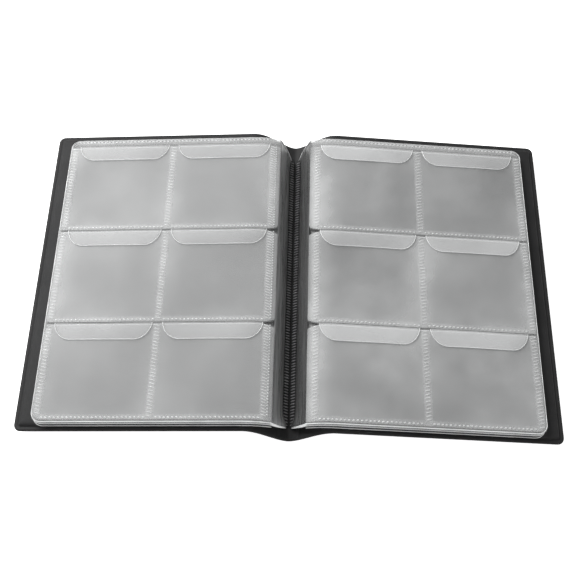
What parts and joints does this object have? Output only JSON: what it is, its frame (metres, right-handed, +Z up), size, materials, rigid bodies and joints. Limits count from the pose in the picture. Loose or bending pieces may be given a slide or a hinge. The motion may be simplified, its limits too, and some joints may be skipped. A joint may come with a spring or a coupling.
{
  "type": "coin album",
  "caption": "Open pocket album for coin holders: a flexible dark cover with a welded spine and stacks of clear leaves, each divided into flapped pockets.",
  "frame": {"origin": "bottom centre of the spine, which is the middle of the footprint on the table", "axes": "+X across the open spread towards the back cover, +Y along the spine towards the far edge, +Z up"},
  "size_m": [0.2742, 0.18, 0.0214],
  "materials": {
    "spine_outer_skin_material": "fine grain",
    "binding_band_material": "knurled weld",
    "front_hinge_web_material": "fine grain",
    "back_hinge_web_material": "fine grain",
    "front_leaf_roots_material": "clear film, stacked and dark",
    "back_leaf_roots_material": "clear film, stacked and dark",
    "front_outer_skin_material": "fine grain",
    "front_board_material": "plain grey board",
    "front_lining_material": "fine grain",
    "front_leaf_1_film_material": "clear film",
    "front_leaf_1_pockets_material": "clear film",
    "front_leaf_2_film_material": "clear film",
    "front_leaf_2_pockets_material": "clear film",
    "front_leaf_3_film_material": "clear film",
    "front_leaf_3_pockets_material": "clear film",
    "front_leaf_4_film_material": "clear film",
    "front_leaf_4_pockets_material": "clear film",
    "front_leaf_5_film_material": "clear film",
    "front_pocket_row_1_material": "clear film",
    "front_pocket_row_2_material": "clear film",
    "front_pocket_row_3_material": "clear film",
    "front_flap_1_inner_material": "clear film",
    "front_flap_1_outer_material": "clear film",
    "front_flap_2_inner_material": "clear film",
    "front_flap_2_outer_material": "clear film",
    "front_flap_3_inner_material": "clear film",
    "front_flap_3_outer_material": "clear film",
    "back_outer_skin_material": "fine grain",
    "back_board_material": "plain grey board",
    "back_lining_material": "fine grain",
    "back_leaf_1_film_material": "clear film",
    "back_leaf_1_pockets_material": "clear film",
    "back_leaf_2_film_material": "clear film",
    "back_leaf_2_pockets_material": "clear film",
    "back_leaf_3_film_material": "clear film",
    "back_leaf_3_pockets_material": "clear film",
    "back_leaf_4_film_material": "clear film",
    "back_leaf_4_pockets_material": "clear film",
    "back_leaf_5_film_material": "clear film",
    "back_pocket_row_1_material": "clear film",
    "back_pocket_row_2_material": "clear film",
    "back_pocket_row_3_material": "clear film",
    "back_flap_1_inner_material": "clear film",
    "back_flap_1_outer_material": "clear film",
    "back_flap_2_inner_material": "clear film",
    "back_flap_2_outer_material": "clear film",
    "back_flap_3_inner_material": "clear film",
    "back_flap_3_outer_material": "clear film"
  },
  "bodies": {
    "spine": {"spine_outer_skin": "spine_outer_skin_material", "binding_band": "binding_band_material", "front_hinge_web": "front_hinge_web_material", "back_hinge_web": "back_hinge_web_material", "front_leaf_roots": "front_leaf_roots_material", "back_leaf_roots": "back_leaf_roots_material"},
    "front_cover": {"front_outer_skin": "front_outer_skin_material", "front_board": "front_board_material", "front_lining": "front_lining_material"},
    "front_leaf_1": {"front_leaf_1_film": "front_leaf_1_film_material", "front_leaf_1_pockets": "front_leaf_1_pockets_material"},
    "front_leaf_2": {"front_leaf_2_film": "front_leaf_2_film_material", "front_leaf_2_pockets": "front_leaf_2_pockets_material"},
    "front_leaf_3": {"front_leaf_3_film": "front_leaf_3_film_material", "front_leaf_3_pockets": "front_leaf_3_pockets_material"},
    "front_leaf_4": {"front_leaf_4_film": "front_leaf_4_film_material", "front_leaf_4_pockets": "front_leaf_4_pockets_material"},
    "front_leaf_5": {"front_leaf_5_film": "front_leaf_5_film_material", "front_pocket_row_1": "front_pocket_row_1_material", "front_pocket_row_2": "front_pocket_row_2_material", "front_pocket_row_3": "front_pocket_row_3_material"},
    "front_flap_1_inner": {"front_flap_1_inner": "front_flap_1_inner_material"},
    "front_flap_1_outer": {"front_flap_1_outer": "front_flap_1_outer_material"},
    "front_flap_2_inner": {"front_flap_2_inner": "front_flap_2_inner_material"},
    "front_flap_2_outer": {"front_flap_2_outer": "front_flap_2_outer_material"},
    "front_flap_3_inner": {"front_flap_3_inner": "front_flap_3_inner_material"},
    "front_flap_3_outer": {"front_flap_3_outer": "front_flap_3_outer_material"},
    "back_cover": {"back_outer_skin": "back_outer_skin_material", "back_board": "back_board_material", "back_lining": "back_lining_material"},
    "back_leaf_1": {"back_leaf_1_film": "back_leaf_1_film_material", "back_leaf_1_pockets": "back_leaf_1_pockets_material"},
    "back_leaf_2": {"back_leaf_2_film": "back_leaf_2_film_material", "back_leaf_2_pockets": "back_leaf_2_pockets_material"},
    "back_leaf_3": {"back_leaf_3_film": "back_leaf_3_film_material", "back_leaf_3_pockets": "back_leaf_3_pockets_material"},
    "back_leaf_4": {"back_leaf_4_film": "back_leaf_4_film_material", "back_leaf_4_pockets": "back_leaf_4_pockets_material"},
    "back_leaf_5": {"back_leaf_5_film": "back_leaf_5_film_material", "back_pocket_row_1": "back_pocket_row_1_material", "back_pocket_row_2": "back_pocket_row_2_material", "back_pocket_row_3": "back_pocket_row_3_material"},
    "back_flap_1_inner": {"back_flap_1_inner": "back_flap_1_inner_material"},
    "back_flap_1_outer": {"back_flap_1_outer": "back_flap_1_outer_material"},
    "back_flap_2_inner": {"back_flap_2_inner": "back_flap_2_inner_material"},
    "back_flap_2_outer": {"back_flap_2_outer": "back_flap_2_outer_material"},
    "back_flap_3_inner": {"back_flap_3_inner": "back_flap_3_inner_material"},
    "back_flap_3_outer": {"back_flap_3_outer": "back_flap_3_outer_material"}
  },
  "joints": [
    {"name": "front_cover_hinge", "type": "hinge", "parent": "spine", "child": "front_cover", "pos_m": [-0.01205, 0, 0.01093], "axis": [0, -1, 0], "range_deg": [-94.25, 0], "deforming": ["front_hinge_web", "front_leaf_roots"]},
    {"name": "front_leaf_1_lift", "type": "hinge", "parent": "front_cover", "child": "front_leaf_1", "pos_m": [-0.00672, 0, 0.01739], "axis": [0, 1, 0], "range_deg": [0, 18]},
    {"name": "front_leaf_2_lift", "type": "hinge", "parent": "front_cover", "child": "front_leaf_2", "pos_m": [-0.00679, 0, 0.01829], "axis": [0, 1, 0], "range_deg": [0, 36]},
    {"name": "front_leaf_3_lift", "type": "hinge", "parent": "front_cover", "child": "front_leaf_3", "pos_m": [-0.00686, 0, 0.01918], "axis": [0, 1, 0], "range_deg": [0, 54]},
    {"name": "front_leaf_4_lift", "type": "hinge", "parent": "front_cover", "child": "front_leaf_4", "pos_m": [-0.00692, 0, 0.02008], "axis": [0, 1, 0], "range_deg": [0, 72]},
    {"name": "front_leaf_5_lift", "type": "hinge", "parent": "front_cover", "child": "front_leaf_5", "pos_m": [-0.00699, 0, 0.02098], "axis": [0, 1, 0], "range_deg": [0, 90]},
    {"name": "front_flap_1_inner_hinge", "type": "hinge", "parent": "front_leaf_5", "child": "front_flap_1_inner", "pos_m": [-0.04106, 0.0782, 0.01942], "axis": [-0.9973, 0, -0.0741], "range_deg": [0, 160]},
    {"name": "front_flap_1_outer_hinge", "type": "hinge", "parent": "front_leaf_5", "child": "front_flap_1_outer", "pos_m": [-0.09726, 0.0782, 0.01525], "axis": [-0.9973, 0, -0.0741], "range_deg": [0, 160]},
    {"name": "front_flap_2_inner_hinge", "type": "hinge", "parent": "front_leaf_5", "child": "front_flap_2_inner", "pos_m": [-0.04106, 0.0224, 0.01942], "axis": [-0.9973, 0, -0.0741], "range_deg": [0, 160]},
    {"name": "front_flap_2_outer_hinge", "type": "hinge", "parent": "front_leaf_5", "child": "front_flap_2_outer", "pos_m": [-0.09726, 0.0224, 0.01525], "axis": [-0.9973, 0, -0.0741], "range_deg": [0, 160]},
    {"name": "front_flap_3_inner_hinge", "type": "hinge", "parent": "front_leaf_5", "child": "front_flap_3_inner", "pos_m": [-0.04106, -0.0334, 0.01942], "axis": [-0.9973, 0, -0.0741], "range_deg": [0, 160]},
    {"name": "front_flap_3_outer_hinge", "type": "hinge", "parent": "front_leaf_5", "child": "front_flap_3_outer", "pos_m": [-0.09726, -0.0334, 0.01525], "axis": [-0.9973, 0, -0.0741], "range_deg": [0, 160]},
    {"name": "back_cover_hinge", "type": "hinge", "parent": "spine", "child": "back_cover", "pos_m": [0.01205, 0, 0.01093], "axis": [0, 1, 0], "range_deg": [-94.25, 0], "deforming": ["back_hinge_web", "back_leaf_roots"]},
    {"name": "back_leaf_1_lift", "type": "hinge", "parent": "back_cover", "child": "back_leaf_1", "pos_m": [0.00672, 0, 0.01739], "axis": [0, -1, 0], "range_deg": [0, 18]},
    {"name": "back_leaf_2_lift", "type": "hinge", "parent": "back_cover", "child": "back_leaf_2", "pos_m": [0.00679, 0, 0.01829], "axis": [0, -1, 0], "range_deg": [0, 36]},
    {"name": "back_leaf_3_lift", "type": "hinge", "parent": "back_cover", "child": "back_leaf_3", "pos_m": [0.00686, 0, 0.01918], "axis": [0, -1, 0], "range_deg": [0, 54]},
    {"name": "back_leaf_4_lift", "type": "hinge", "parent": "back_cover", "child": "back_leaf_4", "pos_m": [0.00692, 0, 0.02008], "axis": [0, -1, 0], "range_deg": [0, 72]},
    {"name": "back_leaf_5_lift", "type": "hinge", "parent": "back_cover", "child": "back_leaf_5", "pos_m": [0.00699, 0, 0.02098], "axis": [0, -1, 0], "range_deg": [0, 90]},
    {"name": "back_flap_1_inner_hinge", "type": "hinge", "parent": "back_leaf_5", "child": "back_flap_1_inner", "pos_m": [0.04106, 0.0782, 0.01942], "axis": [-0.9973, 0, 0.0741], "range_deg": [0, 160]},
    {"name": "back_flap_1_outer_hinge", "type": "hinge", "parent": "back_leaf_5", "child": "back_flap_1_outer", "pos_m": [0.09726, 0.0782, 0.01525], "axis": [-0.9973, 0, 0.0741], "range_deg": [0, 160]},
    {"name": "back_flap_2_inner_hinge", "type": "hinge", "parent": "back_leaf_5", "child": "back_flap_2_inner", "pos_m": [0.04106, 0.0224, 0.01942], "axis": [-0.9973, 0, 0.0741], "range_deg": [0, 160]},
    {"name": "back_flap_2_outer_hinge", "type": "hinge", "parent": "back_leaf_5", "child": "back_flap_2_outer", "pos_m": [0.09726, 0.0224, 0.01525], "axis": [-0.9973, 0, 0.0741], "range_deg": [0, 160]},
    {"name": "back_flap_3_inner_hinge", "type": "hinge", "parent": "back_leaf_5", "child": "back_flap_3_inner", "pos_m": [0.04106, -0.0334, 0.01942], "axis": [-0.9973, 0, 0.0741], "range_deg": [0, 160]},
    {"name": "back_flap_3_outer_hinge", "type": "hinge", "parent": "back_leaf_5", "child": "back_flap_3_outer", "pos_m": [0.09726, -0.0334, 0.01525], "axis": [-0.9973, 0, 0.0741], "range_deg": [0, 160]}
  ],
  "couplings": [
    {"joint": "front_leaf_1_lift", "follows": "front_leaf_5_lift", "ratio": 0.2},
    {"joint": "front_leaf_2_lift", "follows": "front_leaf_5_lift", "ratio": 0.4},
    {"joint": "front_leaf_3_lift", "follows": "front_leaf_5_lift", "ratio": 0.6},
    {"joint": "front_leaf_4_lift", "follows": "front_leaf_5_lift", "ratio": 0.8},
    {"joint": "back_leaf_1_lift", "follows": "back_leaf_5_lift", "ratio": 0.2},
    {"joint": "back_leaf_2_lift", "follows": "back_leaf_5_lift", "ratio": 0.4},
    {"joint": "back_leaf_3_lift", "follows": "back_leaf_5_lift", "ratio": 0.6},
    {"joint": "back_leaf_4_lift", "follows": "back_leaf_5_lift", "ratio": 0.8}
  ]
}
